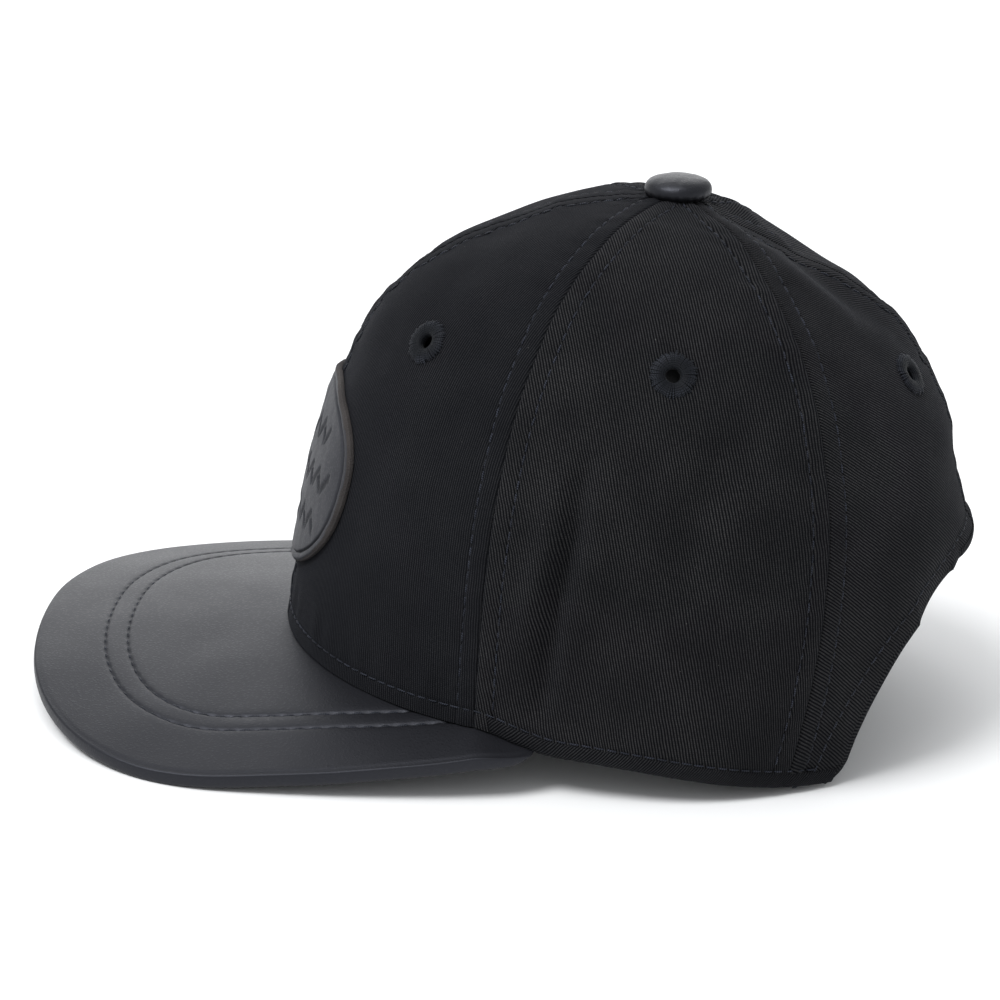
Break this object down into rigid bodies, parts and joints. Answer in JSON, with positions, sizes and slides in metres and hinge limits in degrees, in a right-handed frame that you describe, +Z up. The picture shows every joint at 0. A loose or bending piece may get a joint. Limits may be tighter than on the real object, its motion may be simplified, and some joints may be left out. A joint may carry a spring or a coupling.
{
  "type": "bump cap",
  "caption": "Six-panel cap with a leather visor, oval front patch, snap closure and a vented protective shell with foam pads inside.",
  "frame": {"origin": "middle of the head opening, on the plane the cap rests on, half way along the crown", "axes": "+Z up, -Y the way the wearer faces, +X to the wearer's left"},
  "size_m": [0.183, 0.2676, 0.1565],
  "materials": {
    "cotton_twill": "worn black cotton twill",
    "buckram": "stiffened white mesh",
    "seam_tape": "black woven tape",
    "eyelet_thread": "black embroidery thread",
    "sweatband_cotton": "black brushed cotton",
    "foam": "thin grey foam",
    "label_satin": "plain woven satin",
    "visor_leather": "semi-matte grained leather",
    "visor_board_plastic": "unpainted sheet",
    "patch_leather": "debossed leather with a raw edge",
    "button_leather": "satin leather",
    "button_metal": "plated steel",
    "strap_plastic": "semi-gloss moulded",
    "shell_plastic": "textured moulded ABS",
    "pad_foam": "closed-cell foam with brushed cloth face",
    "hook_fastener": "hook and loop pile"
  },
  "bodies": {
    "cap": {"front_panel_left": "cotton_twill", "front_panel_right": "cotton_twill", "side_panel_left": "cotton_twill", "side_panel_right": "cotton_twill", "rear_panel_left": "cotton_twill", "rear_panel_right": "cotton_twill", "front_buckram_left": "buckram", "front_buckram_right": "buckram", "seam_tape_front_centre": "seam_tape", "seam_tape_front_left": "seam_tape", "seam_tape_front_right": "seam_tape", "seam_tape_rear_centre": "seam_tape", "seam_tape_rear_left": "seam_tape", "seam_tape_rear_right": "seam_tape", "eyelets": "eyelet_thread", "base_hem_left": "cotton_twill", "base_hem_right": "cotton_twill", "arch_facing_left": "cotton_twill", "arch_facing_right": "cotton_twill", "sweatband": "sweatband_cotton", "sweatband_foam": "foam", "blank_care_label": "label_satin", "visor_top_cover": "visor_leather", "visor_board": "visor_board_plastic", "visor_under_cover": "visor_leather", "front_patch": "patch_leather", "button_cover": "button_leather", "button_core": "button_metal", "button_rivet": "button_metal", "strap_root_left": "strap_plastic", "strap_root_right": "strap_plastic", "bump_shell": "shell_plastic", "front_pad": "pad_foam", "rear_pad": "pad_foam", "side_pad_left": "pad_foam", "side_pad_right": "pad_foam", "crown_pad_left": "pad_foam", "crown_pad_right": "pad_foam", "insert_fasteners": "hook_fastener"},
    "hole_strap": {"hole_strap": "strap_plastic"},
    "peg_strap": {"peg_strap": "strap_plastic"}
  },
  "joints": [
    {"name": "hole_strap_swing", "type": "hinge", "parent": "cap", "child": "hole_strap", "pos_m": [-0.0519, 0.05735, 0.012], "axis": [0, 0, 1], "range_deg": [0, 95], "stiffness_Nm_per_rad": 0.01},
    {"name": "peg_strap_swing", "type": "hinge", "parent": "cap", "child": "peg_strap", "pos_m": [0.0519, 0.0538, 0.012], "axis": [0, 0, 1], "range_deg": [0, 35], "stiffness_Nm_per_rad": 0.01}
  ]
}
